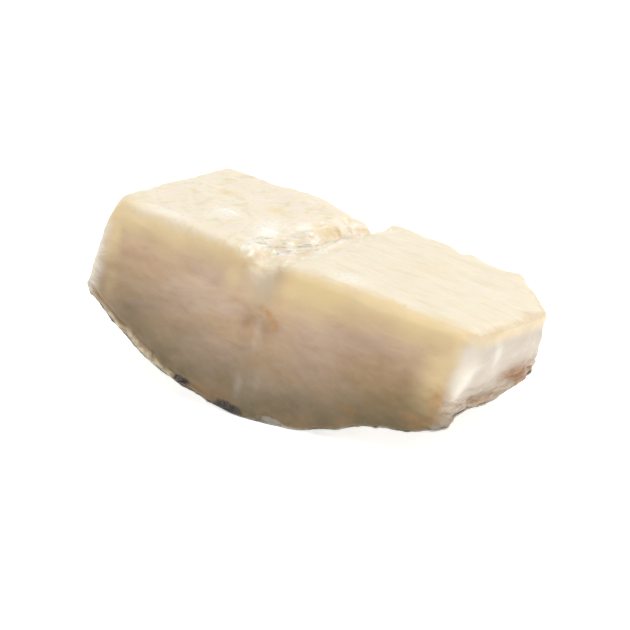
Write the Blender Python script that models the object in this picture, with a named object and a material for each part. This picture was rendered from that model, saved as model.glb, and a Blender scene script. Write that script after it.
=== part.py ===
"""A thick piece of salted cod, cut straight across a split fish.

The piece holds both loins. They meet at the groove that the backbone left along
the middle of the top, and the skin runs round under both of them like a shallow
boat hull. It lies on the skin, on the flat spot where the soft belly presses down.

The mesh is modelled in the frame of the cut: X along the piece from its left end,
Y from the front cut to the back cut, Z up from the top surface. The object is then
turned and lifted to lie as the real piece lies. All sizes are in metres.
"""

import math

import bmesh
import bpy
from mathutils import Euler, Vector, noise

MM = 0.001

# The block as cut, and its thickness along the front cut
LENGTH = 126 * MM
DEPTH = 73 * MM
LEFT_END_THICKNESS = 31 * MM
KEEL_THICKNESS = 48.5 * MM
RIGHT_END_THICKNESS = 29 * MM
KEEL_X = 59 * MM
LEFT_FULLNESS = 0.88
RIGHT_FULLNESS = 1.5

# Where the belly and the skin stand out or draw in along the front cut
BELLY_FOLDS = (
    (30 * MM, 24 * MM, 1.7 * MM),
    (48 * MM, 9 * MM, 0.6 * MM),
    (70 * MM, 8 * MM, 0.6 * MM),
    (98 * MM, 8 * MM, -1.1 * MM),
    (112 * MM, 8 * MM, 1.1 * MM),
)

# The skin rises towards the back, where the fish is thinner
LEFT_END_TAPER = 0.13
KEEL_TAPER = math.tan(math.radians(12))
TAPER_SETTLES_X = 48 * MM

# How it lies: the right end and the back cut are the lower ones
RIGHT_END_DOWN = math.radians(8.2)
BACK_DOWN = math.radians(12)
PRESSED_FLAT = 1.1 * MM

# The groove of the backbone: steep on the left, and open to the right at the front cut
GROOVE_X = 55 * MM
GROOVE_DRIFT = 1.5 * MM
GROOVE_WANDER = 0.8 * MM
GROOVE_HALF_WIDTH = 5 * MM
GROOVE_MOUTH_REACH = 9 * MM
GROOVE_FRONT_DEPTH = 3.2 * MM
GROOVE_BACK_DEPTH = 4.6 * MM
GROOVE_ROUNDNESS = 0.8
LEFT_LIP_REACH = 15 * MM
RIGHT_LIP_REACH = 6 * MM
LIP_FALL = 1.2 * MM

# The two loins crown a little, and the right one rises towards the back
CROWN = 0.9 * MM
RIGHT_LOIN_RISE = 0.9 * MM
RIGHT_LOIN_RISE_REACH = 8 * MM
BACK_LUMPS = (
    (30 * MM, 8 * MM, 1.5 * MM),
    (44 * MM, 4 * MM, 0.7 * MM),
    (57.5 * MM, 3 * MM, 1 * MM),
    (79 * MM, 12 * MM, 1.2 * MM),
    (104.5 * MM, 5 * MM, 1.1 * MM),
)
BACK_LUMPS_START_Y = 56 * MM
BACK_LUMPS_FULL_Y = 71 * MM
FIBRES_START = 4 * MM
FIBRES_FULL = 16 * MM

# The left end leans in at the top, spreads at the skin and slants out towards the back
LEFT_LEAN_FRONT = 4.4 * MM
LEFT_LEAN_BACK = 2 * MM
LEFT_LEAN_SETTLES_Y = 12 * MM
LEFT_SPREAD = 1.7 * MM
LEFT_SLANT = 4.5 * MM

# The right end is hollow beside the near corner, and its far corner is cut away
RIGHT_HOLLOW = 2.8 * MM
HOLLOW_HEIGHT = 0.22
HOLLOW_REACH = 0.42
CORNER_ALONG = 22 * MM
CORNER_START = 48 * MM

# Under the near right corner a flap of skin stays, and behind it the skin is torn up
TEAR_STARTS_Y = 0.5 * MM
TEAR_FULL_Y = 4.5 * MM
TEAR_SETTLES_Y = 24 * MM
TEAR_RISE = 3.8 * MM
TEAR_STAYS = 0.25
TEAR_LENGTH = 20 * MM

# The cuts: the loins bulge, the septum between them is drawn in, the back edge is uneven
CUT_BULGE = 1.3 * MM
BULGE_HEIGHT = 0.45
BULGE_REACH = 0.6
SEPTUM_X = GROOVE_X + 1.5 * MM
SEPTUM_HALF_WIDTH = 7 * MM
SEPTUM_FRONT = 1.5 * MM
SEPTUM_BACK = 2.2 * MM
BACK_BULGES = (
    (10 * MM, 18 * MM, -1.3 * MM),
    (30 * MM, 10 * MM, 3 * MM),
    (45 * MM, 7 * MM, 2.2 * MM),
    (58.5 * MM, 5 * MM, 2 * MM),
    (80 * MM, 34 * MM, 4 * MM),
    (106 * MM, 6 * MM, 2.4 * MM),
)
DENT_X = 100 * MM
DENT_HALF_WIDTH = 5 * MM
DENT_DEPTH = 4 * MM

# Rounding of the edges: widest where the right loin rolls over towards the front
TOP_ROUNDING = 2.6 * MM
LEFT_FRONT_ROUNDING = 3.4 * MM
RIGHT_FRONT_ROUNDING = 8 * MM
FRONT_ROUNDING_CHANGES = (50 * MM, 66 * MM)
SKIN_ROUNDING = 1.2 * MM
END_ROUNDING = 4.5 * MM

# Uneven relief: its height, the size of one bump along X, Y and Z, and its place in the noise
ANY = 1.0
TOP_WAVES = ((0.7 * MM, (26 * MM, 20 * MM, ANY), 2.2), (0.35 * MM, (9 * MM, 8 * MM, ANY), 6.4))
TOP_FIBRES = ((0.3 * MM, (40 * MM, 4.5 * MM, ANY), 9.3),)
GROOVE_LINE = ((GROOVE_WANDER, (ANY, 14 * MM, ANY), 1.7),)
GROOVE_TEARS = ((0.35, (5 * MM, 7 * MM, ANY), 5.1),)
SKIN_FOLDS = ((0.9 * MM, (13 * MM, 17 * MM, ANY), 4.3), (0.5 * MM, (5 * MM, 8 * MM, ANY), 7.9))
LEFT_END_CRAGS = ((0.9 * MM, (ANY, 15 * MM, 14 * MM), 3.1),)
RIGHT_END_CRAGS = ((0.9 * MM, (ANY, 12 * MM, 11 * MM), 8.2),)
FRONT_FLAKES = ((0.5 * MM, (16 * MM, ANY, 13 * MM), 5.5),)
BACK_FLAKES = ((1.1 * MM, (11 * MM, ANY, 17 * MM), 2.9),)

# How many cells each side of the block has between its rounded edges
CELLS_ALONG = 46
CELLS_ACROSS = 23
CELLS_UP = 12

FLESH_COLOUR = (0.86, 0.76, 0.60, 1.0)
FLESH_ROUGHNESS = 0.42


def clear_scene():
    for thing in list(bpy.data.objects):
        bpy.data.objects.remove(thing, do_unlink=True)


def blend(low, high, share):
    return low + (high - low) * share


def smooth_step(start, end, value):
    share = min(1.0, max(0.0, (value - start) / (end - start)))
    return share * share * (3 - 2 * share)


def hump(centre, half_width, value):
    """1 at the centre, falling smoothly to 0 a half width away on either side."""
    away = abs(value - centre) / half_width
    return 0.0 if away >= 1 else 0.5 + 0.5 * math.cos(math.pi * away)


def quarter_wave(distance, reach):
    """1 at no distance, falling to 0 at the full reach like the side of a wave."""
    return math.cos(math.pi / 2 * min(1.0, distance / reach))


def relief(waves, x, y, z):
    """The sum of several layers of smooth uneven bumps."""
    total = 0.0
    for height, size, place in waves:
        spot = Vector((x / size[0], y / size[1], z / size[2]))
        total += height * noise.noise(spot + place * Vector((1, 2, 3)))
    return total


def thickness(x):
    """Thickness of the piece at the front cut: two quarter waves that meet at the keel."""
    if x < KEEL_X:
        fullness = quarter_wave(KEEL_X - x, KEEL_X) ** LEFT_FULLNESS
        return blend(LEFT_END_THICKNESS, KEEL_THICKNESS, fullness)
    fullness = quarter_wave(x - KEEL_X, LENGTH - KEEL_X) ** RIGHT_FULLNESS
    return blend(RIGHT_END_THICKNESS, KEEL_THICKNESS, fullness)


def skin_level(x, y):
    """Height of the skin side, with its folds and the tear at the near right corner."""
    taper = blend(LEFT_END_TAPER, KEEL_TAPER, smooth_step(0, TAPER_SETTLES_X, x))
    tear = smooth_step(TEAR_STARTS_Y, TEAR_FULL_Y, y) * smooth_step(LENGTH - TEAR_LENGTH, LENGTH, x)
    tear *= blend(1, TEAR_STAYS, smooth_step(TEAR_FULL_Y, TEAR_SETTLES_Y, y))
    folds = sum(height * hump(middle, half_width, x) for middle, half_width, height in BELLY_FOLDS)
    folds *= 1 - smooth_step(0, DEPTH / 2, y)
    return taper * y - thickness(x) - folds + relief(SKIN_FOLDS, x, y, 0) + TEAR_RISE * tear


def groove_depth(x, y):
    """The valley between the loins, with a torn floor and lips that fall towards it."""
    middle = GROOVE_X - GROOVE_DRIFT * y / DEPTH + relief(GROOVE_LINE, 0, y, 0)
    on_left = x < middle
    mouth = blend(GROOVE_MOUTH_REACH, GROOVE_HALF_WIDTH, smooth_step(0, DEPTH / 2, y))
    valley = hump(middle, GROOVE_HALF_WIDTH if on_left else mouth, x) ** GROOVE_ROUNDNESS
    depth = blend(GROOVE_FRONT_DEPTH, GROOVE_BACK_DEPTH, smooth_step(0, DEPTH, y))
    lip = smooth_step(middle - LEFT_LIP_REACH, middle, x) if on_left else hump(middle, RIGHT_LIP_REACH, x)
    fall = LIP_FALL * smooth_step(0, DEPTH, y) * lip
    return depth * valley * (1 + relief(GROOVE_TEARS, x, y, 0)) + fall


def top_level(x, y):
    """Height of the cut top: gently crowned loins with long shallow waves along the right one."""
    left_loin = hump(GROOVE_X / 2, GROOVE_X * 0.62, x)
    right_loin = hump((GROOVE_X + LENGTH) / 2, (LENGTH - GROOVE_X) * 0.62, x)
    level = CROWN * max(left_loin, right_loin) * hump(DEPTH / 2, DEPTH * 0.62, y)
    rise = smooth_step(GROOVE_X, GROOVE_X + RIGHT_LOIN_RISE_REACH, x) * smooth_step(DEPTH / 3, DEPTH, y)
    fibres = smooth_step(GROOVE_X + FIBRES_START, GROOVE_X + FIBRES_FULL, x)
    level += relief(TOP_WAVES, x, y, 0) + RIGHT_LOIN_RISE * rise + fibres * relief(TOP_FIBRES, x, y, 0)
    lumps = sum(height * hump(middle, half_width, x) for middle, half_width, height in BACK_LUMPS)
    level += lumps * smooth_step(BACK_LUMPS_START_Y, BACK_LUMPS_FULL_Y, y)
    return level - groove_depth(x, y)


def end_faces(y, up):
    """X of the left and the right end at a depth, and a height from 0 at the skin to 1 at the top."""
    z = up * KEEL_THICKNESS
    lean = blend(LEFT_LEAN_FRONT, LEFT_LEAN_BACK, smooth_step(0, LEFT_LEAN_SETTLES_Y, y))
    left = lean * up**4 - LEFT_SPREAD * (1 - up) ** 4 - LEFT_SLANT * y / DEPTH
    hollow = RIGHT_HOLLOW * hump(HOLLOW_HEIGHT, HOLLOW_REACH, up) * (1 - smooth_step(0, DEPTH / 2, y))
    corner = CORNER_ALONG * max(0.0, y - CORNER_START) / (DEPTH - CORNER_START)
    right = LENGTH - corner - hollow
    return left + relief(LEFT_END_CRAGS, 0, y, z), right + relief(RIGHT_END_CRAGS, 0, y, z)


def cut_faces(x, up):
    """Y of the front and the back cut at a place along the piece and a height, as in end_faces."""
    z = up * KEEL_THICKNESS
    septum = hump(SEPTUM_X, SEPTUM_HALF_WIDTH, x) * up**1.5
    loins = max(hump(GROOVE_X * 0.48, GROOVE_X * 0.7, x), hump(GROOVE_X * 1.62, GROOVE_X * 0.9, x))
    bulge = CUT_BULGE * loins * hump(BULGE_HEIGHT, BULGE_REACH, up)
    front = SEPTUM_FRONT * septum - bulge + relief(FRONT_FLAKES, x, 0, z)
    back = DEPTH + bulge - SEPTUM_BACK * septum + relief(BACK_FLAKES, x, 0, z)
    for middle, half_width, height in BACK_BULGES:
        back += height * hump(middle, half_width, x)
    back -= DENT_DEPTH * hump(DENT_X, DENT_HALF_WIDTH, x) * smooth_step(0.5, 0.9, up)
    return front, back


def rounded(along, across, up):
    """Moves a point of the unit block's surface onto the same block with rounded edges."""
    size = Vector((LENGTH, DEPTH, KEEL_THICKNESS))
    place = Vector((along * size.x, across * size.y, up * size.z))
    on_end = min(along, 1 - along) < 1e-6
    front = blend(LEFT_FRONT_ROUNDING, RIGHT_FRONT_ROUNDING, smooth_step(*FRONT_ROUNDING_CHANGES, place.x))
    top = blend(front, TOP_ROUNDING, smooth_step(0.15, 0.35, across))
    radius = blend(SKIN_ROUNDING, top, smooth_step(0.2, 0.9, up))
    side = blend(END_ROUNDING, top, smooth_step(0.55, 0.95, up))
    reach = Vector((radius if on_end else side, side if on_end else radius, radius))
    inner = Vector([min(s - r, max(r, p)) for p, s, r in zip(place, size, reach)])
    offset = Vector([(p - i) / r for p, i, r in zip(place, inner, reach)])
    offset /= max(1.0, offset.length)
    return [(i + o * r) / s for i, o, r, s in zip(inner, offset, reach, size)]


def flesh_point(corner):
    """Where a point of the unit block's surface goes on the piece of fish."""
    along, across, up = rounded(*corner)
    front, back = cut_faces(along * LENGTH, up)
    y = blend(front, back, across)
    left, right = end_faces(y, up)
    x = blend(left, right, along)
    return Vector((x, y, blend(skin_level(x, y), top_level(x, y), up)))


def cuts(cells, size, rounding):
    """Where one side of the unit block is cut: twice within each rounded edge, evenly between."""
    edge = rounding / size
    middle = [blend(edge, 1 - edge, step / cells) for step in range(cells + 1)]
    return [edge / 2, *middle, 1 - edge / 2]


def unit_block():
    """A closed unit cube whose faces carry the grid of cuts."""
    block = bmesh.new()
    bmesh.ops.create_cube(block, size=1.0)
    bmesh.ops.translate(block, vec=(0.5, 0.5, 0.5), verts=block.verts)
    sides = (
        (Vector((1, 0, 0)), cuts(CELLS_ALONG, LENGTH, END_ROUNDING)),
        (Vector((0, 1, 0)), cuts(CELLS_ACROSS, DEPTH, END_ROUNDING)),
        (Vector((0, 0, 1)), cuts(CELLS_UP, KEEL_THICKNESS, TOP_ROUNDING)),
    )
    for direction, places in sides:
        for place in places:
            everything = [*block.verts, *block.edges, *block.faces]
            bmesh.ops.bisect_plane(
                block, geom=everything, dist=1e-7, plane_co=direction * place, plane_no=direction
            )
    return block


def press_flat(block, turn):
    """Flattens the lowest stretch of the belly against the surface that the turned piece lies on."""
    up = turn.to_matrix().transposed() @ Vector((0, 0, 1))
    floor = min(vert.co.dot(up) for vert in block.verts) + PRESSED_FLAT
    for vert in block.verts:
        below = floor - vert.co.dot(up)
        if below > 0:
            vert.co += up * below


def flesh_material():
    material = bpy.data.materials.new("cod_flesh")
    material.use_nodes = True
    shader = material.node_tree.nodes["Principled BSDF"]
    shader.inputs["Base Color"].default_value = FLESH_COLOUR
    shader.inputs["Roughness"].default_value = FLESH_ROUGHNESS
    shader.inputs["Metallic"].default_value = 0.0
    return material


def lay_down(piece, turn):
    """Turns the piece as it lies, and puts the origin under the middle of its bounding box."""
    corners = [turn.to_matrix() @ vert.co for vert in piece.data.vertices]
    low = Vector([min(corner[axis] for corner in corners) for axis in range(3)])
    high = Vector([max(corner[axis] for corner in corners) for axis in range(3)])
    piece.rotation_euler = turn
    piece.location = (-(low.x + high.x) / 2, -(low.y + high.y) / 2, -low.z)


def make_cod_piece():
    turn = Euler((-BACK_DOWN, RIGHT_END_DOWN, 0.0), "XYZ")
    block = unit_block()
    for vert in block.verts:
        vert.co = flesh_point(vert.co)
    press_flat(block, turn)
    bmesh.ops.recalc_face_normals(block, faces=block.faces)
    mesh = bpy.data.meshes.new("cod_piece")
    block.to_mesh(mesh)
    block.free()
    mesh.shade_smooth()
    mesh.materials.append(flesh_material())
    piece = bpy.data.objects.new("cod_piece", mesh)
    bpy.context.scene.collection.objects.link(piece)
    lay_down(piece, turn)


clear_scene()
make_cod_piece()
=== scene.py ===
"""A thick piece of salted cod on a pale floor: the finish of its flesh, its torn groove and its skin.

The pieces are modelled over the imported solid. Places and sizes on the fish are given in the frame of the
cut, in millimetres: X along the piece from its left end, Y from the front cut to the back cut, Z up from
the cut top.
"""

import math
import bpy
import numpy as np
from mathutils import Euler, Matrix, Vector
from mathutils.bvhtree import BVHTree


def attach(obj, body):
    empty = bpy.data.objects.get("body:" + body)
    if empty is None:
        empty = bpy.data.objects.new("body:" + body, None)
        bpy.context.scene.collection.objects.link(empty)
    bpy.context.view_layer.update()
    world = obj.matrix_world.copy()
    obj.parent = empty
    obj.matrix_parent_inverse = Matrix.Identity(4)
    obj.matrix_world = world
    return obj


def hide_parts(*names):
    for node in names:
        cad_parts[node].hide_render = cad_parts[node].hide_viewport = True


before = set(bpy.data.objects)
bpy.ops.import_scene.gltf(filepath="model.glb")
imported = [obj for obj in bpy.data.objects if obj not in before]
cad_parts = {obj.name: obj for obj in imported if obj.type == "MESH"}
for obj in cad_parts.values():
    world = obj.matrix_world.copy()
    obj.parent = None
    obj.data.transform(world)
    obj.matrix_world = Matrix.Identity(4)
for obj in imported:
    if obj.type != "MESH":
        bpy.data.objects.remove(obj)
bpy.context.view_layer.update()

MM = 0.001
MERGE_DISTANCE = 0.00001
QUAD_FACES_ANGLE = math.radians(50)
QUAD_SHAPE_ANGLE = math.radians(60)
LEAST_WEIGHT = 0.002
BODY = "root"
NODE = "cod_piece"

# How the piece lies: the right end and the back cut are the lower ones
RIGHT_END_DOWN = math.radians(8.2)
BACK_DOWN = math.radians(12)
LYING = Euler((-BACK_DOWN, RIGHT_END_DOWN, 0.0), "XYZ").to_matrix()

# How far the solid reaches past the corner that places are measured from
LEFT_END_OVERHANG = 6.3 * MM
FRONT_OVERHANG = 1.6 * MM
CROWN_OVERHANG = 2.1 * MM

DEPTH = 73
LEFT_END_TO_X = 14
RIGHT_END_FROM_X = 114
GROOVE_X = 55
GROOVE_DRIFT = 1.5

# The valley down the front cut, and the crease that runs over the skin
VALLEY_X = 57
CREASE_HEIGHT = 2.4
CREASE_RISE = 1.1
CREASE_WANDER = 0.25
CREASE_WAVE = 1.3
STRIP_EDGE = 0.7

# Spots that the photograph shows on the fish, each with its centre, its reach and its strength
PALE_SPOTS = (
    ((39, 0, -17), (20, 8, 10), 0.8),
    ((60, 0, -24), (2.5, 6, 8), 0.9),
    ((57.8, 0, -41), (1.3, 6, 7), 0.6),
    ((61, 0, -40), (1.0, 6, 6), 0.4),
    ((85, 0, -17), (14, 8, 7), 0.35),
)
SEPTUM_SPOTS = (
    ((60, 0, -19), (11, 6, 5), 0.5),
    ((52, 0, -15), (9, 6, 3), 0.25),
    ((63, 0, -22), (4, 6, 7), 0.3),
    ((50, 0, -42), (15, 6, 6), 0.15),
    ((55, 0, -21), (4, 6, 4), 0.35),
)
MILKY_SPOTS = (
    ((59.5, 0, -20.4), (1.6, 6, 2.6), 0.8),
    ((57.6, 0, -39.6), (2.4, 6, 6.5), 0.55),
    ((63.6, 0, -36), (2.2, 6, 5.5), 0.35),
    ((60.5, 0, -40), (9, 6, 8), 0.3),
    ((48, 0, -41), (4, 6, 4), 0.25),
)
ORANGE_SPOTS = (
    ((62.4, -0.5, -16.2), (3.0, 6, 2.2), 1.0),
    ((64.8, -0.5, -18.4), (3.2, 6, 2.4), 1.0),
    ((59.6, -0.5, -15.2), (3.6, 6, 1.6), 0.8),
    ((55.4, -0.5, -17.4), (3.4, 6, 1.8), 0.5),
    ((57.6, -0.5, -24), (1.8, 6, 2.2), 0.5),
    ((120, -0.5, -21), (5, 6, 8), 0.8),
    ((116, -0.5, -28), (8, 6, 3), 0.5),
    ((94, 0, -33), (5, 6, 2.5), 0.3),
    ((49.8, 54.4, -1.4), (2.6, 3.4, 3), 0.8),
    ((123, 40, 0), (3, 5, 3), 0.4),
)
GOLDEN_TOP_SPOTS = (
    ((15.6, 42.8, 0.5), (5, 7, 4), 0.9),
    ((34, 42.9, 0.8), (6, 6, 4), 0.9),
    ((6, 3, -3), (9, 8, 9), 0.8),
    ((52.4, 28.4, -3), (5, 10, 5), 0.9),
    ((49.7, 48.5, -1.2), (4.5, 10, 5), 1.8),
    ((88, 44, 0), (14, 12, 5), 0.4),
    ((98, 2.5, -1.5), (24, 4.5, 5), 0.8),
    ((56.8, 2.5, -3.6), (5, 5, 4), 0.6),
)
GOLDEN_SIDE_SPOTS = (
    ((48, 0, -8), (6, 6, 9), 0.8),
    ((8, 0, -24), (4, 6, 8), 0.3),
)
# Wet places on the top: lower roughness there, and white painted highlights laid over them
WET_HIGHLIGHT_SPOTS = (
    ((27.5, 22, 0), (7, 10, 5), 0.9),
    ((40, 30, 0.5), (5, 9, 4), 0.8),
    ((44, 21, 0.3), (6, 10, 4), 1.3),
    ((48.5, 9, 0), (5.5, 9, 4), 1.3),
    ((50.4, 2.5, -0.6), (4.5, 6, 4), 0.8),
    ((46, 40, 0), (4, 6, 4), 0.7),
    ((50.5, 58, -2.5), (4, 5, 4), 0.8),
    ((20, 4, 0), (13, 4, 4), 0.6),
    ((80, 9, 0), (9, 6, 5), 0.6),
    ((100, 6, 0), (12, 5, 5), 0.4),
)
NEAR_EDGE_SPOTS = (
    ((124, 2, -11), (6, 9, 14), 1.0),
    ((126, 18, -8), (5, 4, 8), 0.5),
)
BROWN_SPOTS = (
    ((126, 36, -15.8), (10, 15, 5), 1.3),
    ((125, 20, -22), (8, 14, 3.5), 0.6),
)
DARK_SPOTS = (
    ((38.5, 0, -45.2), (6, 6, 2.8), 1.0),
    ((56, 0, -47.8), (9, 7, 4.2), 1.3),
    ((113, 0, -34), (7, 6, 1.6), 0.6),
)
SILVER_SPOTS = (
    ((73, 0, -46), (10, 6, 2.6), 1.0),
    ((122, 0, -28.5), (5, 4, 2.5), 1.0),
)
LUMPS = (
    ((49.8, 3.8, -0.3), (2.4, 3.5, 3), 1.0),
    ((43.4, 17.4, 0.4), (4, 7, 4), 0.6),
    ((51.8, 9, -2), (2, 3, 3), 0.7),
)

# How far a face has to turn, as a share of its normal, to count as skin, top or end
SKIN_TURN = -0.75
TOP_TURN = 0.9
RIGHT_END_TURN = 0.75
LEFT_END_TURN = -0.8
FINER_ABOVE_TURN = -0.6

# The part of the groove that is made finer
FINE_GROOVE_X = 52
FINE_GROOVE_HALF_WIDTH = 10
FINE_GROOVE_TURN = 0.1
FINE_GROOVE_ABOVE = -8

# The camera, which looks at the piece from the front right and a little above
VIEW_TURN = math.radians(32.5)
VIEW_HEIGHT = math.radians(23.3)
VIEW_DISTANCE = 0.8
VIEW_CENTRE = Vector((0.0, 0.0, 0.028))
VIEW_RIGHT_OF_CENTRE = -3.8 * MM
VIEW_ABOVE_CENTRE = -9.7 * MM
LENS = 153.4


def linear(red, green, blue):
    """A colour given as seen on a screen, from 0 to 255, as the linear colour that shaders take."""
    shares = [value / 255 for value in (red, green, blue)]
    return (*[((s + 0.055) / 1.055) ** 2.4 if s > 0.04045 else s / 12.92 for s in shares], 1.0)


# Places on the fish

def cut_origin():
    """Where the corner that places are measured from lies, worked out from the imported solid."""
    turned = [LYING.transposed() @ vert.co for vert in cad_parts[NODE].data.vertices]
    low_x = min(place.x for place in turned)
    low_y = min(place.y for place in turned)
    high_z = max(place.z for place in turned)
    corner = Vector((low_x + LEFT_END_OVERHANG, low_y + FRONT_OVERHANG, high_z - CROWN_OVERHANG))
    return LYING @ corner


ORIGIN = cut_origin()


def mesh_places(mesh):
    """Every vertex's place in the frame of the cut, in millimetres."""
    flat = np.empty(len(mesh.vertices) * 3, np.float32)
    mesh.vertices.foreach_get("co", flat)
    return (flat.reshape(-1, 3) - np.array(ORIGIN)) @ np.array(LYING) / MM


def mesh_normals(mesh):
    flat = np.empty(len(mesh.vertices) * 3, np.float32)
    mesh.vertex_normals.foreach_get("vector", flat)
    return flat.reshape(-1, 3) @ np.array(LYING)


def smooth(start, end, value):
    """0 up to start, 1 from end on, and a smooth climb between. Start may lie above end."""
    share = np.clip((value - start) / (end - start), 0, 1)
    return share * share * (3 - 2 * share)


def spots_at(places, spots):
    """Soft oval spots, each with a centre, a reach along the axes and its strength in the middle."""
    total = np.zeros(len(places))
    for centre, reach, strength in spots:
        away = (places - np.array(centre)) / np.array(reach)
        total += strength * smooth(1, 0, np.sqrt((away**2).sum(1)))
    return total


# Working as by hand

def only(piece):
    """Makes a piece the only selected one and the active one."""
    bpy.ops.object.select_all(action="DESELECT")
    piece.select_set(True)
    bpy.context.view_layer.objects.active = piece


def copy_of_node(name):
    """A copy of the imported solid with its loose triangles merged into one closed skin."""
    piece = bpy.data.objects.new(name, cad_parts[NODE].data.copy())
    piece.data.materials.clear()
    bpy.context.scene.collection.objects.link(piece)
    only(piece)
    bpy.ops.object.mode_set(mode="EDIT")
    bpy.ops.mesh.select_all(action="SELECT")
    bpy.ops.mesh.remove_doubles(threshold=MERGE_DISTANCE)
    bpy.ops.mesh.tris_convert_to_quads(face_threshold=QUAD_FACES_ANGLE, shape_threshold=QUAD_SHAPE_ANGLE)
    bpy.ops.object.mode_set(mode="OBJECT")
    return piece


def apply_subdivision(piece, levels):
    only(piece)
    modifier = piece.modifiers.new("subdivision", "SUBSURF")
    modifier.levels = levels
    modifier.render_levels = levels
    bpy.ops.object.modifier_apply(modifier=modifier.name)


def select_faces(piece, chosen):
    """Selects the faces whose middle, a place in millimetres with a normal, passes the choice."""
    mesh = piece.data
    count = len(mesh.polygons)
    centre = np.empty(count * 3, np.float32)
    normal = np.empty(count * 3, np.float32)
    mesh.polygons.foreach_get("center", centre)
    mesh.polygons.foreach_get("normal", normal)
    places = (centre.reshape(-1, 3) - np.array(ORIGIN)) @ np.array(LYING) / MM
    normals = normal.reshape(-1, 3) @ np.array(LYING)
    only(piece)
    bpy.ops.object.mode_set(mode="EDIT")
    bpy.ops.mesh.select_mode(type="FACE")
    bpy.ops.mesh.select_all(action="DESELECT")
    bpy.ops.object.mode_set(mode="OBJECT")
    mesh.polygons.foreach_set("select", chosen(places, normals))


def refine(piece, chosen):
    """Subdivides the chosen faces once more."""
    select_faces(piece, chosen)
    bpy.ops.object.mode_set(mode="EDIT")
    bpy.ops.mesh.subdivide(number_cuts=1, quadcorner="INNERVERT")
    bpy.ops.object.mode_set(mode="OBJECT")


def weigh(piece, name, weights):
    """A vertex group that holds one weight for each vertex."""
    group = piece.vertex_groups.new(name=name)
    for index in np.nonzero(weights > LEAST_WEIGHT)[0].tolist():
        group.add([index], float(weights[index]), "REPLACE")
    return group.name


def mark(piece, name, values):
    """A number for each vertex, which the material reads by name."""
    layer = piece.data.attributes.new(name, "FLOAT", "POINT")
    layer.data.foreach_set("value", np.clip(values, 0, 1).astype(np.float32))


def relief(piece, name, grain, height, weights, middle=0.5, depth=2):
    """Raises and sinks the surface by clouds whose bumps have the given sizes along the cut's axes."""
    texture = bpy.data.textures.new(name, "CLOUDS")
    texture.noise_scale = 1.0
    texture.noise_depth = depth
    guide = bpy.data.objects.new(name + "_guide", None)
    bpy.context.scene.collection.objects.link(guide)
    size = Matrix.Diagonal(Vector(grain) * MM)
    guide.matrix_world = Matrix.Translation(ORIGIN) @ (LYING @ size).to_4x4()
    bpy.context.view_layer.update()
    modifier = piece.modifiers.new(name, "DISPLACE")
    modifier.texture = texture
    modifier.texture_coords = "OBJECT"
    modifier.texture_coords_object = guide
    modifier.mid_level = middle
    modifier.strength = height * MM
    modifier.vertex_group = weigh(piece, name, weights)
    only(piece)
    bpy.ops.object.modifier_apply(modifier=modifier.name)
    bpy.data.objects.remove(guide)


def raise_evenly(piece, name, height, weights):
    """Raises the surface as high as the weights say, or sinks it where the height is negative."""
    modifier = piece.modifiers.new(name, "DISPLACE")
    modifier.mid_level = 0.0
    modifier.strength = height * MM
    modifier.vertex_group = weigh(piece, name, weights)
    only(piece)
    bpy.ops.object.modifier_apply(modifier=modifier.name)


# Mixing materials

def start_material(name):
    material = bpy.data.materials.new(name)
    material.use_nodes = True
    return material, material.node_tree, material.node_tree.nodes["Principled BSDF"]


def add_node(tree, kind, inputs=None, **settings):
    node = tree.nodes.new(kind)
    for key, value in settings.items():
        setattr(node, key, value)
    for key, value in (inputs or {}).items():
        socket = node.inputs[key]
        if isinstance(value, bpy.types.NodeSocket):
            tree.links.new(value, socket)
        else:
            socket.default_value = value
    return node


def cut_coordinates(tree, grain):
    """Coordinates along the cut's axes, in steps of the given grain in millimetres."""
    own = add_node(tree, "ShaderNodeTexCoord").outputs["Object"]
    back = LYING.transposed()
    mapping = add_node(tree, "ShaderNodeMapping", {"Vector": own})
    mapping.inputs["Rotation"].default_value = back.to_euler()
    mapping.inputs["Location"].default_value = -(back @ ORIGIN)
    stretch = add_node(tree, "ShaderNodeMapping", {"Vector": mapping.outputs["Vector"]})
    stretch.inputs["Scale"].default_value = [1 / (size * MM) for size in grain]
    return stretch.outputs["Vector"]


def noise(tree, grain, detail=2.0, roughness=0.5, distortion=0.0):
    values = {"Vector": cut_coordinates(tree, grain), "Scale": 1.0, "Detail": detail}
    values.update({"Roughness": roughness, "Distortion": distortion})
    return add_node(tree, "ShaderNodeTexNoise", values).outputs["Fac"]


def cells(tree, grain):
    values = {"Vector": cut_coordinates(tree, grain), "Scale": 1.0}
    return add_node(tree, "ShaderNodeTexVoronoi", values).outputs["Distance"]


def climb(tree, value, low, high, floor=0.0, ceiling=1.0):
    """Smoothly from floor to ceiling while the value goes from low to high."""
    values = {"Value": value, "From Min": low, "From Max": high, "To Min": floor, "To Max": ceiling}
    node = add_node(tree, "ShaderNodeMapRange", values, interpolation_type="SMOOTHSTEP", clamp=True)
    return node.outputs["Result"]


def marked(tree, name):
    return add_node(tree, "ShaderNodeAttribute", attribute_name=name).outputs["Fac"]


def calculate(tree, operation, first, second):
    node = add_node(tree, "ShaderNodeMath", operation=operation)
    for socket, value in zip(node.inputs, (first, second)):
        if isinstance(value, bpy.types.NodeSocket):
            tree.links.new(value, socket)
        else:
            socket.default_value = value
    return node.outputs["Value"]


def lay_over(tree, under, colour, share):
    """Lays one colour over what is there, by a share from 0 to 1."""
    node = add_node(tree, "ShaderNodeMix", data_type="RGBA", blend_type="MIX")
    sockets = [socket for socket in node.inputs if socket.type == "RGBA"]
    for socket, value in zip(sockets, (under, colour)):
        if isinstance(value, bpy.types.NodeSocket):
            tree.links.new(value, socket)
        else:
            socket.default_value = value
    tree.links.new(share, node.inputs["Factor"])
    return [socket for socket in node.outputs if socket.type == "RGBA"][0]


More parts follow.
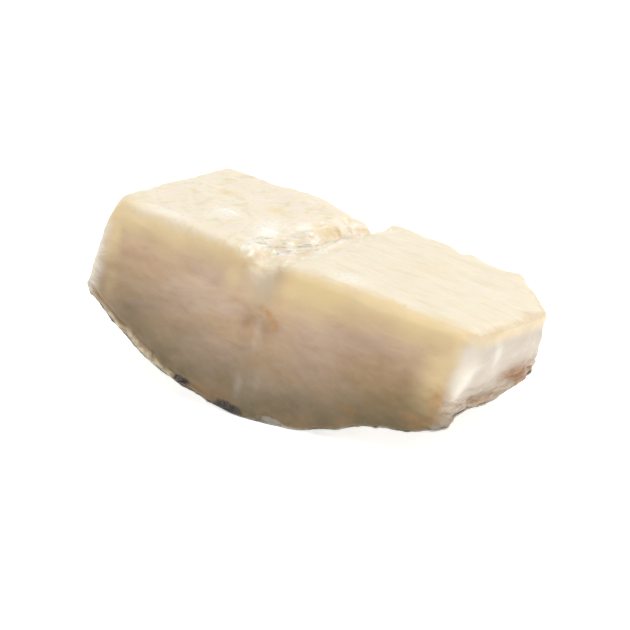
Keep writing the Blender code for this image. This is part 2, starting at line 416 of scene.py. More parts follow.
def let_light_in(shader, weight, spread, depth):
    """Lets light spread under the surface, as it does in flesh and fat, to a depth in millimetres."""
    shader.inputs["Subsurface Weight"].default_value = weight
    shader.inputs["Subsurface Radius"].default_value = spread
    shader.inputs["Subsurface Scale"].default_value = depth * MM


def bump(tree, height, distance, under=None):
    values = {"Height": height, "Distance": distance * MM, "Strength": 1.0}
    if under:
        values["Normal"] = under
    return add_node(tree, "ShaderNodeBump", values).outputs["Normal"]


# The flesh

CREAM = linear(239, 228, 203)
CREAM_DEEP = linear(225, 209, 175)
BLUSH = linear(240, 225, 207)
GREYISH = linear(224, 215, 196)
PAINTED_HIGHLIGHT_WHITE = linear(254, 250, 238)
MEMBRANE = linear(246, 236, 212)
GOLD = linear(232, 209, 161)
TAN = linear(201, 171, 139)
WARM_TAN = linear(167, 137, 99)
PINK = linear(198, 170, 147)
PALE = linear(212, 190, 167)
OLIVE = linear(108, 94, 62)
UMBER = linear(146, 114, 80)
ORANGE = linear(188, 137, 74)
BROWN = linear(144, 104, 68)
LILAC = linear(193, 181, 165)
RIM_WHITE = linear(244, 239, 225)
VALLEY_CREAM = linear(219, 203, 175)
GROOVE_TAN = linear(222, 203, 170)
STRIP_BEIGE = linear(206, 190, 162)
SILVER = linear(156, 149, 136)
SKIN_DARK = linear(54, 48, 43)

# How light spreads in each finish: its weight, its spread in red, green and blue, its depth in millimetres
FLESH_GLOW = (0.45, (1.0, 0.75, 0.5), 5)
MEMBRANE_GLOW = (0.5, (1.0, 0.85, 0.7), 2)
SKIN_GLOW = (0.2, (1.0, 0.8, 0.6), 2)
FLESH_IOR = 1.38

# The patterns of the flesh: grain along the cut's axes in millimetres, detail, roughness, distortion
FLESH_PATTERNS = {
    "mottle": ((13, 13, 10), 3.0, 0.55, 0.0),
    "fine": ((2.2, 2.2, 2.2), 3.0, 0.55, 0.0),
    "fibres": ((15, 12, 5), 2.5, 0.5, 2.2),
    "layers": ((2.5, 7, 1.6), 3.0, 0.6, 0.8),
    "blots": ((4.5, 9, 6), 3.0, 0.55, 0.7),
    "flecks": ((2.6, 5, 3), 3.0, 0.55, 0.8),
    "strands": ((13, 2.4, 6), 3.0, 0.6, 0.9),
    "blush": ((24, 20, 10), 2.0, 0.5, 0.6),
}

# Tones that are laid over each other: colour, zone, pattern, the pattern's range and the shares that it gives
CUT_TONES = (
    (PALE, "pale", "fibres", (0.3, 0.6), (0.4, 0.9)),
    (WARM_TAN, "warm", "mottle", (0.3, 0.6), (0.5, 0.95)),
    # Painted shade: dark olive laid over the cuts, stronger towards the skin
    (OLIVE, "painted_shade_depth", "mottle", (0.25, 0.7), (1.0, 0.8)),
    (UMBER, "low_rim", "mottle", (0.45, 0.62), (0, 0.6)),
    (UMBER, "septum", "fibres", (0.3, 0.6), (1.0, 0.6)),
    (LILAC, "milky", "fibres", (0.3, 0.6), (0.3, 0.5)),
    (LILAC, "bright_end", "painted_shade_depth", (0.7, 1.0), (1, 0.75)),
    (RIM_WHITE, "near_edge", "mottle", (0.3, 0.7), (0.6, 0.8)),
    (UMBER, "end_rim", "layers", (0.45, 0.62), (0.15, 0.7)),
    # Painted rim light: near-white laid over the left end
    (RIM_WHITE, "left_end", "fibres", (0.3, 0.62), (0.92, 0.5)),
    (PALE, "left_end", "layers", (0.5, 0.66), (0, 0.45)),
    (GOLD, "gold", "mottle", (0.25, 0.6), (0.75, 1.0)),
    (VALLEY_CREAM, "valley", "mottle", (0.3, 0.7), (0.6, 0.8)),
)
TOP_TONES = (
    (GOLD, "golden_top", "blots", (0.3, 0.7), (0.5, 0.9)),
    # White painted highlights on the wet spots
    (PAINTED_HIGHLIGHT_WHITE, "wet", "flecks", (0.4, 0.6), (0.6, 1.0)),
)
DETAIL_TONES = (
    (GROOVE_TAN, "groove", "flecks", (0.54, 0.36), (0, 0.35)),
    # White painted highlights in the torn groove
    (PAINTED_HIGHLIGHT_WHITE, "groove", "flecks", (0.5, 0.66), (0, 0.8)),
    (ORANGE, "orange", "fine", (0.3, 0.6), (0.25, 0.7)),
    (BROWN, "brown", "layers", (0.35, 0.55), (0.7, 1.0)),
    (STRIP_BEIGE, "strip", "flecks", (0.3, 0.6), (0.2, 0.9)),
    # Painted shade: umber laid along the sunk crease just above the skin
    (UMBER, "crease", "flecks", (0.35, 0.6), (0.0, 0.7)),
)
PATCH_BREAK = 0.25
FINE_BUMP = 0.12
STRAND_BUMP = 0.2

# The relief of the flesh: the size of its bumps along the cut's axes, and their height
FIBRE_LINES = ((14, 2.2, 4), 0.4)
WET_GRAINS = ((4.5, 5, 4.0), 0.6)
TORN_FLOOR = ((4.5, 8, 4.0), 1.8)
TORN_STRANDS = ((2.2, 8, 2.5), 0.8)
MUSCLE = ((9, 9, 5), 0.8)
LEFT_WALL_LAYERS = ((3, 14, 4), 0.8)
END_CRAGS = ((3, 6, 2), 2.4)
SEPTUM_PUCKERS = ((2.2, 3, 2.2), 1.2)
RAGGED_EDGES = ((2.4, 2.4, 2.4), 1.2)
STRIP_LUMPS = ((4, 3, 3), 1.3)

# How far whole places are raised, or sunk where the number is negative
GROOVE_FILLING = 1.7
SOFT_SHOULDER = -0.7
WHITE_LUMPS = 1.3
CREASE_LINE = -0.4
FRONT_VALLEY = -0.8
SKIN_BED = -0.3

# Where the zones of the flesh fade in or out, each from the first number to the second
FACES_FRONT = (0.5, 0.8)
FACES_LEFT = (0.6, 0.9)
FACES_UP = (0.3, 0.8)
RIGHT_END_REACH = (5, 0.5)
LEFT_END_REACH = (7, 0.5)
GROOVE_LEFT_EDGE = (-13, -5)
GROOVE_RIGHT_EDGE = (12, 3)
FAR_RIGHT = (70, 92)
CREASE_CLIMBS = (12, 20)
CREASE_SINKS = (34, 27)
CREASE_ENDS = (50, 36)
CREASE_REACH = (0.9, 0.2)
STRIP_STARTS = (2, 9)
STRIP_ENDS = (42, 34)
PATCH_HEIGHT = (5, 2)
LOW_RIM_HEIGHT = (7, 1.5)
END_RIM_HEIGHT = (9, 2)
LEFT_RIM_HEIGHT = (7, 1)
WARM_ALONG = (76, 100)
WARM_DOWN = (8, 20)
VALLEY_REACH = (8, 0)
VALLEY_DOWN = (20, 8)

# The edge of the top, the golden band under it, and the corners that the band runs down
ON_TOP = 0.3
TOP_ROLL = 6.5
BAND_DEPTH = 11
NEAR_CORNER_X = 119
LEFT_CORNER_X = 6


def side_tree(piece, chosen):
    """The faces whose middle, as X in millimetres, and normal pass the choice, to measure distances from."""
    mesh = piece.data
    back = LYING.transposed()
    corners = [vert.co.copy() for vert in mesh.vertices]
    faces = []
    for face in mesh.polygons:
        if chosen((back @ (face.center - ORIGIN)).x / MM, back @ face.normal):
            faces.append(tuple(face.vertices))
    return BVHTree.FromPolygons(corners, faces)


def distances(piece, tree):
    """How far each vertex lies from the faces in the tree, in millimetres."""
    return np.array([tree.find_nearest(vert.co)[3] for vert in piece.data.vertices]) / MM


def golden_band(places, past_edge, top, right_loin, far_right, wave):
    """The band under the edge of the top, which breaks off at the valley and runs down two corners."""
    x, y, z = places.T
    lower_edge = BAND_DEPTH + 4 * right_loin - 5 * far_right + 1.5 * wave
    band = smooth(-3 - 4 * far_right, 2.5 - 4 * far_right, past_edge)
    band = band * smooth(lower_edge + 4, lower_edge - 9, past_edge)
    band = band * (1 - 0.7 * smooth(11, 2, np.abs(x - VALLEY_X)))
    band = np.maximum(band, spots_at(places, GOLDEN_SIDE_SPOTS) * (1 - top))
    near_corner = smooth(11, 0, np.abs(x - NEAR_CORNER_X)) * smooth(30, 14, -z)
    left_corner = smooth(5, 0, np.abs(x - LEFT_CORNER_X)) * smooth(24, 10, -z) * smooth(20, 8, y)
    return np.maximum(band, np.maximum(0.8 * near_corner, 0.85 * left_corner))


def flesh_zones(piece, under_top, over_skin, to_right_end, to_left_end):
    """Marks where each tone of the flesh lies, and gives the zones that the relief needs."""
    places = mesh_places(piece.data)
    normals = mesh_normals(piece.data)
    x, y, z = places.T
    front = smooth(*FACES_FRONT, -normals[:, 1])
    cut = np.maximum(front, smooth(*FACES_FRONT, normals[:, 1]))
    right_end = smooth(*RIGHT_END_REACH, to_right_end)
    left_end = smooth(*LEFT_END_REACH, to_left_end)
    left_wall = smooth(*FACES_LEFT, -normals[:, 0]) * smooth(LEFT_END_TO_X, 6, x)
    right_loin = smooth(GROOVE_X, GROOVE_X + 12, x)
    far_right = smooth(*FAR_RIGHT, x)

    off_groove = x - GROOVE_X + GROOVE_DRIFT * y / DEPTH
    groove = smooth(*GROOVE_LEFT_EDGE, off_groove) * smooth(*GROOVE_RIGHT_EDGE, off_groove)
    groove = groove * smooth(*FACES_UP, normals[:, 2])
    groove = groove * (1 - 0.7 * smooth(7, 2, y) * smooth(51, 54, x))

    wave = 0.6 * np.sin(x / 9) + 0.4 * np.sin(x / 4.3 + 1) + 0.3 * np.sin(x / 2.1 + 2)
    # How far below the top, or where negative how far behind the front edge of the top
    past_edge = under_top - np.clip(y - 1.5 - 3 * right_loin, 0, 20) * (under_top < ON_TOP)
    top_ends = TOP_ROLL - right_loin - 3 * far_right + wave
    top = smooth(top_ends, -0.5 - 2.5 * right_loin - 2 * far_right, past_edge)
    top = top * (1 - 0.6 * smooth(4, 0, to_right_end) * (under_top < ON_TOP))
    band = golden_band(places, past_edge, top, right_loin, far_right, wave)
    end_band = smooth(-2, 1, under_top) * smooth(5, 2, under_top)

    low = smooth(*PATCH_HEIGHT, over_skin)
    # How far down from the top towards the skin, which sets the painted shade that darkens the cuts there
    painted_shade_depth = smooth(0.3 + 0.12 * smooth(76, 88, x), 1.0, under_top / (under_top + over_skin))
    crease_height = CREASE_HEIGHT + CREASE_RISE * smooth(*CREASE_CLIMBS, x) * smooth(*CREASE_SINKS, x)
    crease_height = crease_height + CREASE_WANDER * np.sin(x / CREASE_WAVE)
    strip = smooth(crease_height, crease_height - STRIP_EDGE, over_skin)
    strip = strip * smooth(*STRIP_STARTS, x) * smooth(*STRIP_ENDS, x)
    crease = smooth(*CREASE_REACH, np.abs(over_skin - crease_height)) * smooth(*CREASE_ENDS, x)
    left_rim = 0.7 * left_wall * smooth(*LEFT_RIM_HEIGHT, over_skin)
    end_rim = np.maximum(right_end * smooth(*END_RIM_HEIGHT, over_skin), left_rim)
    zones = {
        "top": top,
        "right_loin": right_loin,
        "groove": groove,
        "gold": band * (1 - right_end) + 0.55 * end_band * right_end,
        "golden_top": spots_at(places, GOLDEN_TOP_SPOTS),
        "wet": spots_at(places, WET_HIGHLIGHT_SPOTS),
        "painted_shade_depth": painted_shade_depth * (0.58 + 0.42 * smooth(3, 19, x)),
        "pale": spots_at(places, PALE_SPOTS),
        "septum": spots_at(places, SEPTUM_SPOTS) * front,
        "milky": spots_at(places, MILKY_SPOTS) * front,
        "valley": smooth(*VALLEY_REACH, np.abs(x - VALLEY_X)) * smooth(*VALLEY_DOWN, -z) * front,
        "bright_end": right_end * (1 - top),
        "left_end": left_end * (1 - top),
        "orange": spots_at(places, ORANGE_SPOTS),
        "near_edge": spots_at(places, NEAR_EDGE_SPOTS) * (1 - top),
        "brown": spots_at(places, BROWN_SPOTS) * right_end,
        "end_rim": end_rim,
        "crease": crease * cut,
        "strip": strip * front,
        "low_rim": smooth(*LOW_RIM_HEIGHT, over_skin) * (1 - top),
        "warm": smooth(*WARM_ALONG, x) * smooth(*WARM_DOWN, -z) * front,
        "dark_patch": low * spots_at(places, DARK_SPOTS),
        "silver_patch": low * spots_at(places, SILVER_SPOTS),
    }
    for name, values in zones.items():
        mark(piece, name, values)
    zones.update({"places": places, "front": front, "left_wall": left_wall, "off_groove": off_groove})
    return zones


def share(tree, zone, value, low, high, floor=0.0, ceiling=1.0):
    """A zone's mark times a pattern, which goes from floor to ceiling while its value climbs."""
    return calculate(tree, "MULTIPLY", marked(tree, zone), climb(tree, value, low, high, floor, ceiling))


def lay_tones(tree, tone, tones, patterns):
    """Lays a row of tones over what is there, each where its zone and its pattern say."""
    for colour, zone, pattern, span, shares in tones:
        tone = lay_over(tree, tone, colour, share(tree, zone, patterns[pattern], *span, *shares))
    return tone


def blotched(tree, zone, value, spread):
    """A zone whose edge is broken up by a pattern."""
    uneven = calculate(tree, "ADD", marked(tree, zone), climb(tree, value, 0.3, 0.7, -spread, spread))
    return climb(tree, uneven, spread + 0.02, spread + 0.55)


def cut_tone(tree, patterns):
    """The tone of the cuts and of the two ends, from gold under the top to dark olive over the skin, the
    olive being painted shade that grows towards the skin.
    """
    fibres = patterns["fibres"]
    # The tan and pink of the cuts lie darker than the top's cream: partly the flesh's own tone, partly
    # painted shade
    tone = lay_over(tree, TAN, PINK, climb(tree, patterns["blush"], 0.40, 0.58))
    tone = lay_over(tree, tone, PALE, climb(tree, fibres, 0.5, 0.75, 0, 0.35))
    tone = lay_over(tree, tone, UMBER, climb(tree, fibres, 0.48, 0.3, 0, 0.14))
    return lay_tones(tree, tone, CUT_TONES, patterns)


def top_tone(tree, patterns):
    """The wet top: soft blotches on the left loin, fine lines along the piece on the right loin, and white
    painted highlights on its wettest spots.
    """
    blots, strands = patterns["blots"], patterns["strands"]
    left = lay_over(tree, CREAM, BLUSH, climb(tree, blots, 0.48, 0.62, 0, 0.8))
    left = lay_over(tree, left, CREAM_DEEP, climb(tree, blots, 0.46, 0.3, 0, 0.7))
    left = lay_over(tree, left, GREYISH, climb(tree, patterns["flecks"], 0.44, 0.3, 0, 0.8))
    right = lay_over(tree, CREAM, CREAM_DEEP, climb(tree, strands, 0.5, 0.64, 0, 0.35))
    right = lay_over(tree, right, BLUSH, climb(tree, strands, 0.46, 0.34, 0, 0.6))
    tone = lay_over(tree, left, right, marked(tree, "right_loin"))
    return lay_tones(tree, tone, TOP_TONES, patterns)


def flesh_material():
    """Moist flesh: its tones by zone and pattern, a sheen that is stronger where wet, and fine grain."""
    material, tree, shader = start_material("cod_flesh_finish")
    patterns = {name: noise(tree, *settings) for name, settings in FLESH_PATTERNS.items()}
    patterns["painted_shade_depth"] = marked(tree, "painted_shade_depth")
    fine, flecks = patterns["fine"], patterns["flecks"]

    tone = cut_tone(tree, patterns)
    top_edge = calculate(tree, "ADD", marked(tree, "top"), climb(tree, fine, 0.3, 0.7, -0.1, 0.1))
    tone = lay_over(tree, tone, top_tone(tree, patterns), climb(tree, top_edge, 0.0, 1.0))
    tone = lay_tones(tree, tone, DETAIL_TONES, patterns)
    tone = lay_over(tree, tone, SILVER, blotched(tree, "silver_patch", fine, PATCH_BREAK))
    dark = lay_over(tree, SKIN_DARK, SILVER, climb(tree, flecks, 0.5, 0.75, 0, 0.6))
    tone = lay_over(tree, tone, dark, blotched(tree, "dark_patch", flecks, PATCH_BREAK))
    tree.links.new(tone, shader.inputs["Base Color"])

    damp = climb(tree, flecks, 0.35, 0.62, 0.5, 0.3)
    wet = climb(tree, marked(tree, "wet"), 0.1, 0.8, 0, 0.14)
    tree.links.new(calculate(tree, "SUBTRACT", damp, wet), shader.inputs["Roughness"])
    let_light_in(shader, *FLESH_GLOW)
    shader.inputs["IOR"].default_value = FLESH_IOR
    raised_strands = share(tree, "top", flecks, 0.2, 0.8, 0.8, 1.0)
    raised_strands = calculate(tree, "MULTIPLY", patterns["strands"], raised_strands)
    grain = bump(tree, raised_strands, STRAND_BUMP, bump(tree, fine, FINE_BUMP))
    tree.links.new(grain, shader.inputs["Normal"])
    return material


def in_groove(places, normals):
    """The faces of the groove's floor and walls."""
    near = np.abs(places[:, 0] - FINE_GROOVE_X) < FINE_GROOVE_HALF_WIDTH
    return near & (normals[:, 2] > FINE_GROOVE_TURN) & (places[:, 2] > FINE_GROOVE_ABOVE)


def carve_flesh(flesh, zones, over_skin):
    """Gives the flesh its fibres, its torn places, and a hollow where the skin lies."""
    x, y, z = zones["places"].T
    top, groove, front, off_groove = zones["top"], zones["groove"], zones["front"], zones["off_groove"]
    along = smooth(3, 12, y) * smooth(60, 42, y) * smooth(0.2, 0.6, mesh_normals(flesh.data)[:, 2])
    filled = smooth(-7, -1, off_groove) * smooth(7, 1, off_groove) * along
    shoulder = smooth(3, 6, off_groove) * smooth(14, 7, off_groove) * along
    raise_evenly(flesh, "groove_filling", GROOVE_FILLING, filled)
    raise_evenly(flesh, "soft_shoulder", SOFT_SHOULDER, shoulder)
    relief(flesh, "fibre_lines", *FIBRE_LINES, top * zones["right_loin"])
    relief(flesh, "wet_grains", *WET_GRAINS, top * (1 - zones["right_loin"]))
    relief(flesh, "torn_floor", *TORN_FLOOR, groove, depth=1)
    relief(flesh, "torn_strands", *TORN_STRANDS, groove, depth=1)
    relief(flesh, "muscle", *MUSCLE, (1 - top) * smooth(1, 4, over_skin))
    relief(flesh, "left_wall_layers", *LEFT_WALL_LAYERS, zones["left_wall"] * (1 - top), middle=0.6)
    relief(flesh, "end_crags", *END_CRAGS, zones["end_rim"])
    relief(flesh, "septum_puckers", *SEPTUM_PUCKERS, np.minimum(zones["orange"], 1) * front)
    edge = smooth(0.05, 0.35, top) * smooth(0.95, 0.6, top)
    relief(flesh, "ragged_edges", *RAGGED_EDGES, edge * smooth(20, 30, y), depth=3)
    raise_evenly(flesh, "white_lumps", WHITE_LUMPS, spots_at(zones["places"], LUMPS))
    raise_evenly(flesh, "crease_line", CREASE_LINE, zones["crease"])
    relief(flesh, "strip_lumps", *STRIP_LUMPS, zones["strip"])
    valley = smooth(6, 0.5, np.abs(x - VALLEY_X)) * smooth(22, 6, -z) * front
    raise_evenly(flesh, "front_valley", FRONT_VALLEY, valley)
    raise_evenly(flesh, "skin_bed", SKIN_BED, smooth(1.0, 0.3, over_skin) * (1 - top))


def make_flesh():
    """The flesh: the solid's own form, made finer, carved and given its finish."""
    flesh = copy_of_node("flesh")
    skin_side = side_tree(flesh, lambda x, normal: normal.z < SKIN_TURN)
    top_side = side_tree(flesh, lambda x, normal: normal.z > TOP_TURN)
    right_side = side_tree(flesh, lambda x, normal: normal.x > RIGHT_END_TURN and x > RIGHT_END_FROM_X)
    left_side = side_tree(flesh, lambda x, normal: normal.x < LEFT_END_TURN and x < LEFT_END_TO_X)
    apply_subdivision(flesh, 1)
    refine(flesh, lambda places, normals: normals[:, 2] > FINER_ABOVE_TURN)
    refine(flesh, in_groove)
    over_skin = distances(flesh, skin_side)
    to_right_end, to_left_end = distances(flesh, right_side), distances(flesh, left_side)
    zones = flesh_zones(flesh, distances(flesh, top_side), over_skin, to_right_end, to_left_end)
    carve_flesh(flesh, zones, over_skin)
    only(flesh)
    bpy.ops.object.shade_smooth()
    flesh.data.materials.append(flesh_material())
    return flesh


# The torn membrane in the groove

SHRED_LENGTH = 9
SHRED_WIDTH = 1.2
SHRED_THICKNESS = 0.35
SHRED_SINKS = 0.25
SHRED_COLUMNS = 14
SHRED_ROWS = 2
SHRED_TAPER = 2.6
SHRED_SWAY = 0.4
SHRED_SWAY_TURNS = 9
DROP_FROM = 20
MEMBRANE_GRAIN = (2.5, 2.5, 2.5)
MEMBRANE_BUMP = 0.1

# Each shred: its place on the cut's top, its turn and lean in degrees, its size and its form
SHREDS = (
    (52.0, 16.0, 70, 25, 0.62, "curl"),
    (54.5, 13.5, 20, 40, 0.5, "curl"),
    (50.5, 20.5, 115, 20, 0.55, "curl"),
    (55.5, 19.5, -40, 30, 0.45, "curl"),
    (51.0, 11.0, 80, 10, 0.8, "strip"),
    (47.5, 9.0, 60, 15, 0.9, "strip"),
    (46.0, 14.0, 75, 10, 1.1, "strip"),
    (53.5, 26.0, 95, 15, 0.9, "strip"),
    (50.0, 32.0, 70, 10, 1.0, "strip"),
    (54.0, 36.0, 20, 25, 0.5, "curl"),
    (55.0, 42.0, 95, 10, 1.0, "strip"),
    (52.5, 47.0, 130, 30, 0.45, "curl"),
    (55.5, 51.0, 85, 10, 0.9, "strip"),
    (51.5, 57.0, 100, 12, 1.0, "strip"),
    (54.5, 63.0, 60, 20, 0.6, "curl"),
)

# How far each form of shred bends, in degrees
CURLS = {"curl": 250, "strip": 75}


def membrane_material():
    """Thin wet membrane: milky white with a few cream stains."""
    material, tree, shader = start_material("cod_membrane_finish")
    stains = noise(tree, MEMBRANE_GRAIN, 3.0, 0.6)
    tone = lay_over(tree, MEMBRANE, CREAM_DEEP, climb(tree, stains, 0.48, 0.64))
    tree.links.new(tone, shader.inputs["Base Color"])
    tree.links.new(climb(tree, stains, 0.4, 0.6, 0.22, 0.4), shader.inputs["Roughness"])
    tree.links.new(bump(tree, stains, MEMBRANE_BUMP), shader.inputs["Normal"])
    let_light_in(shader, *MEMBRANE_GLOW)
    return material


def model_shred(form):
    """One ribbon of membrane, which lies along X, tapers to its ends and curls as far as its form says."""
    bpy.ops.object.select_all(action="DESELECT")
    bpy.ops.mesh.primitive_grid_add(x_subdivisions=SHRED_COLUMNS, y_subdivisions=SHRED_ROWS, size=MM)
    shred = bpy.context.object
    shred.name = form
    bpy.ops.object.mode_set(mode="EDIT")
    bpy.ops.transform.resize(value=(SHRED_LENGTH, SHRED_WIDTH, 1))
    bpy.ops.object.mode_set(mode="OBJECT")
    for vert in shred.data.vertices:
        along = vert.co.x / (SHRED_LENGTH * MM)
        vert.co.y *= 1 - SHRED_TAPER * along * along
        vert.co.y += SHRED_SWAY * MM * math.sin(along * SHRED_SWAY_TURNS)
    bend = shred.modifiers.new("curl", "SIMPLE_DEFORM")
    bend.deform_method = "BEND"
    bend.deform_axis = "Y"
    bend.angle = math.radians(-CURLS[form])
    thickness = shred.modifiers.new("thickness", "SOLIDIFY")
    thickness.thickness = SHRED_THICKNESS * MM
    thickness.offset = 0.0
    rounding = shred.modifiers.new("rounding", "SUBSURF")
    rounding.levels = 1
    rounding.render_levels = 1
    only(shred)
    for modifier in (bend, thickness, rounding):
        bpy.ops.object.modifier_apply(modifier=modifier.name)
    return shred


def make_membrane(flesh):
    """The shreds of torn membrane that lie in the groove, each laid on the flesh under it."""
    bpy.context.view_layer.update()
    ground = BVHTree.FromObject(flesh, bpy.context.evaluated_depsgraph_get())
    down = LYING @ Vector((0, 0, -1))
    forms = {form: model_shred(form) for form in CURLS}
    pieces = []
    for x, y, turn, lean, size, form in SHREDS:
        above = ORIGIN + LYING @ (Vector((x, y, DROP_FROM)) * MM)
        touched = ground.ray_cast(above, down)[0]
        turned = Euler((math.radians(lean), 0, math.radians(turn)), "XYZ").to_matrix() * size
        shred = bpy.data.objects.new("shred", forms[form].data.copy())
        bpy.context.scene.collection.objects.link(shred)
        lowest = min((turned @ vert.co).z for vert in shred.data.vertices)
        lift = LYING @ Vector((0, 0, -lowest - SHRED_SINKS * MM))
        shred.data.transform(Matrix.Translation(touched + lift) @ (LYING @ turned).to_4x4())
        pieces.append(shred)
    for form in forms.values():
        bpy.data.objects.remove(form)
    only(pieces[0])
    for shred in pieces:
        shred.select_set(True)
    bpy.ops.object.join()
    membrane = bpy.context.object
    membrane.name = "membrane_shreds"
    bpy.ops.object.shade_smooth()
    membrane.data.materials.append(membrane_material())
    return membrane


# The skin

SKIN_GREY = linear(150, 142, 126)
SKIN_SILVER = linear(196, 190, 178)
SKIN_CUT = linear(190, 172, 140)
SKIN_CUT_GREY = linear(146, 134, 114)
SKIN_DARK_SPOTS = (
    ((38, 0, -46), (7, 9, 9), 1.0),
    ((55.5, 0, -48), (8, 9, 9), 1.0),
    ((113, 0, -34), (8, 9, 9), 0.8),
)
SKIN_SILVER_SPOTS = (
    ((73, 0, -46.5), (11, 9, 9), 1.0),
    ((26, 0, -44), (9, 9, 9), 0.5),
    ((122, 0, -28.5), (9, 9, 9), 1.0),
    ((0, 0, -24), (16, 14, 14), 0.8),
)
SCALE_GRAIN = (1.1, 0.8, 1.1)
SCALE_BUMP = 0.12
SKIN_CUT_ROUGHNESS = 0.4

SKIN_THICKNESS = 1.4
THIN_SHARE = 0.35
SKIN_FINER_TIMES = 2
SHARP_ANGLE = math.radians(50)

# The rim of the skin: the size and height of its waves, how high it starts, and how steep its border lies
RIM_WAVES = ((3.0, 3.0, 3.0), 1.1)
SKIN_LIES_ABOVE = 1.5
SKIN_BORDER = -0.7


def skin_material():
    """The outer side: mottled grey with dark blotches, silvery patches and fine scale marks."""
    material, tree, shader = start_material("cod_skin_finish")
    clouds = noise(tree, (14, 11, 14), 4.0, 0.6, 0.8)
    blotches = noise(tree, (5, 4, 5), 3.0, 0.6, 0.5)
    scales = cells(tree, SCALE_GRAIN)
    tone = lay_over(tree, SKIN_GREY, SKIN_SILVER, climb(tree, clouds, 0.5, 0.68, 0, 0.8))
    tone = lay_over(tree, tone, SKIN_DARK, climb(tree, blotches, 0.5, 0.66, 0, 0.8))
    tone = lay_over(tree, tone, SKIN_DARK, calculate(tree, "MULTIPLY", marked(tree, "dark_patch"), 0.85))
    tone = lay_over(tree, tone, SKIN_SILVER, calculate(tree, "MULTIPLY", marked(tree, "silver_patch"), 0.7))
    tone = lay_over(tree, tone, SKIN_SILVER, climb(tree, scales, 0.45, 0.15, 0, 0.25))
    tree.links.new(tone, shader.inputs["Base Color"])
    tree.links.new(climb(tree, blotches, 0.4, 0.6, 0.5, 0.32), shader.inputs["Roughness"])
    tree.links.new(bump(tree, scales, SCALE_BUMP), shader.inputs["Normal"])
    return material


def skin_cut_material():
    """The cut edge and the inner side: pale, fatty and a little see-through, with grey spots."""
    material, tree, shader = start_material("cod_skin_cut_finish")
    spots = noise(tree, (4, 4, 4), 3.0, 0.6)
    tone = lay_over(tree, SKIN_CUT, SKIN_CUT_GREY, climb(tree, spots, 0.45, 0.62))
    tone = lay_over(tree, tone, SKIN_DARK, calculate(tree, "MULTIPLY", marked(tree, "dark_patch"), 0.9))
    tone = lay_over(tree, tone, SKIN_SILVER, calculate(tree, "MULTIPLY", marked(tree, "silver_patch"), 0.8))
    tree.links.new(tone, shader.inputs["Base Color"])
    shader.inputs["Roughness"].default_value = SKIN_CUT_ROUGHNESS
    let_light_in(shader, *SKIN_GLOW)
    return material


def on_skin_side(places, normals):
    """The faces that the skin covers, with a border that wanders a little."""
    x, y = places[:, 0], places[:, 1]
    wander = 0.05 * np.sin(x / 3.1) + 0.04 * np.sin(x / 1.3 + y / 2) + 0.03 * np.sin(y / 2.3)
    return normals[:, 2] < SKIN_BORDER + wander


def make_skin():
    """The skin: a thin sheet under the flesh with a ragged rim."""
    skin = copy_of_node("skin")
    select_faces(skin, lambda places, normals: ~on_skin_side(places, normals))
    bpy.ops.object.mode_set(mode="EDIT")
    bpy.ops.mesh.delete(type="FACE")
    bpy.ops.object.mode_set(mode="OBJECT")
    apply_subdivision(skin, SKIN_FINER_TIMES)
    only(skin)
    bpy.ops.object.mode_set(mode="EDIT")
    bpy.ops.mesh.select_mode(type="VERT")
    bpy.ops.mesh.select_all(action="DESELECT")
    bpy.ops.mesh.select_non_manifold()
    bpy.ops.object.mode_set(mode="OBJECT")
    rim = [vert.select and vert.co.z > SKIN_LIES_ABOVE * MM for vert in skin.data.vertices]
    relief(skin, "rim_waves", *RIM_WAVES, np.array(rim, float), middle=0.6)
    places = mesh_places(skin.data)
    x = places[:, 0]
    mark(skin, "dark_patch", spots_at(places, SKIN_DARK_SPOTS))
    mark(skin, "silver_patch", spots_at(places, SKIN_SILVER_SPOTS))
    stout = smooth(8, 16, x) * smooth(42, 34, x) + smooth(62, 68, x) * smooth(84, 78, x)
    thick = weigh(skin, "thick", THIN_SHARE + (1 - THIN_SHARE) * stout)
    modifier = skin.modifiers.new("thickness", "SOLIDIFY")
    modifier.thickness = SKIN_THICKNESS * MM
    modifier.offset = -1
    modifier.vertex_group = thick
    modifier.material_offset = 1
    modifier.material_offset_rim = 1
    only(skin)
    bpy.ops.object.modifier_apply(modifier=modifier.name)
    bpy.ops.object.shade_smooth_by_angle(angle=SHARP_ANGLE)
    skin.data.materials.append(skin_material())
    skin.data.materials.append(skin_cut_material())
    return skin


# The studio

WHITE = (1.0, 1.0, 1.0, 1.0)
FLOOR_SIZE = 6
FLOOR_TONE = linear(240, 240, 240)
FLOOR_GLOW = 0.65
FLOOR_ROUGHNESS = 0.9
FLOOR_SHINE = 0.1
WORLD_LIGHT = 0.5

# Each softbox: its name, its place, the point it aims at, its width and height in metres, and its power
SOFTBOXES = (
    ("top_softbox", (0.25, 0.45, 1.4), (0, 0, 0), 2.2, 1.8, 18.5),
    ("right_softbox", (1.2, 0.2, 0.6), (0, 0, 0.02), 0.9, 0.9, 2.8),
    ("left_softbox", (-1.2, 0.3, 0.35), (0, 0, 0.02), 0.9, 0.9, 2.5),
)


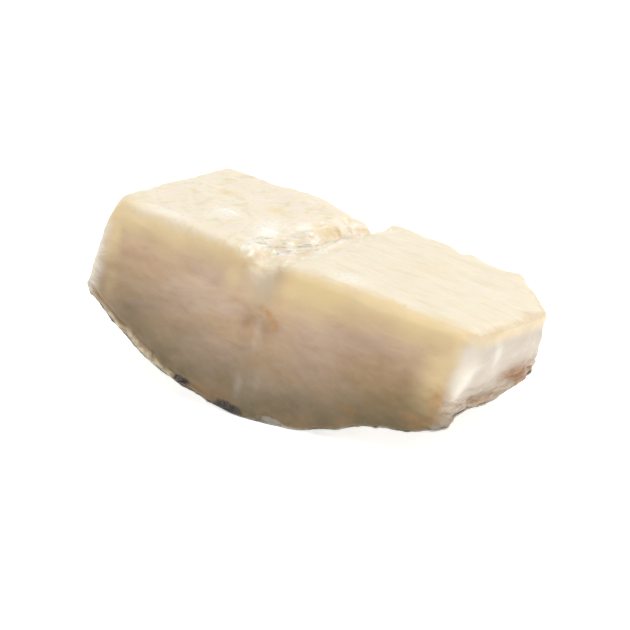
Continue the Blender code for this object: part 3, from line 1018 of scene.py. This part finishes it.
def make_floor():
    bpy.ops.mesh.primitive_plane_add(size=FLOOR_SIZE, location=(0, 0, 0))
    floor = bpy.context.object
    floor.name = "floor"
    material, _, shader = start_material("pale_floor")
    shader.inputs["Base Color"].default_value = FLOOR_TONE
    shader.inputs["Emission Color"].default_value = WHITE
    shader.inputs["Emission Strength"].default_value = FLOOR_GLOW
    shader.inputs["Roughness"].default_value = FLOOR_ROUGHNESS
    shader.inputs["Specular IOR Level"].default_value = FLOOR_SHINE
    floor.data.materials.append(material)


def add_softbox(name, place, aim, width, height, power):
    light = bpy.data.lights.new(name, "AREA")
    light.shape = "RECTANGLE"
    light.size = width
    light.size_y = height
    light.energy = power
    lamp = bpy.data.objects.new(name, light)
    bpy.context.scene.collection.objects.link(lamp)
    lamp.location = place
    lamp.rotation_euler = (Vector(aim) - Vector(place)).to_track_quat("-Z", "Y").to_euler()


def light_studio():
    world = bpy.data.worlds.new("studio")
    bpy.context.scene.world = world
    world.use_nodes = True
    background = world.node_tree.nodes["Background"]
    background.inputs["Color"].default_value = WHITE
    background.inputs["Strength"].default_value = WORLD_LIGHT
    for softbox in SOFTBOXES:
        add_softbox(*softbox)
    bpy.context.scene.view_settings.view_transform = "Standard"


def place_camera():
    toward = Vector((
        math.sin(VIEW_TURN) * math.cos(VIEW_HEIGHT),
        -math.cos(VIEW_TURN) * math.cos(VIEW_HEIGHT),
        math.sin(VIEW_HEIGHT),
    ))
    right = Vector((math.cos(VIEW_TURN), math.sin(VIEW_TURN), 0))
    above = toward.cross(right)
    aim = VIEW_CENTRE + right * VIEW_RIGHT_OF_CENTRE + above * VIEW_ABOVE_CENTRE
    camera = bpy.data.objects.new("camera", bpy.data.cameras.new("camera"))
    bpy.context.scene.collection.objects.link(camera)
    camera.data.lens = LENS
    camera.location = aim + toward * VIEW_DISTANCE
    camera.rotation_euler = (-toward).to_track_quat("-Z", "Y").to_euler()
    bpy.context.scene.camera = camera


place_camera()
light_studio()
make_floor()
cod_flesh = make_flesh()
for piece in (cod_flesh, make_membrane(cod_flesh), make_skin()):
    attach(piece, BODY)
    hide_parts(NODE)
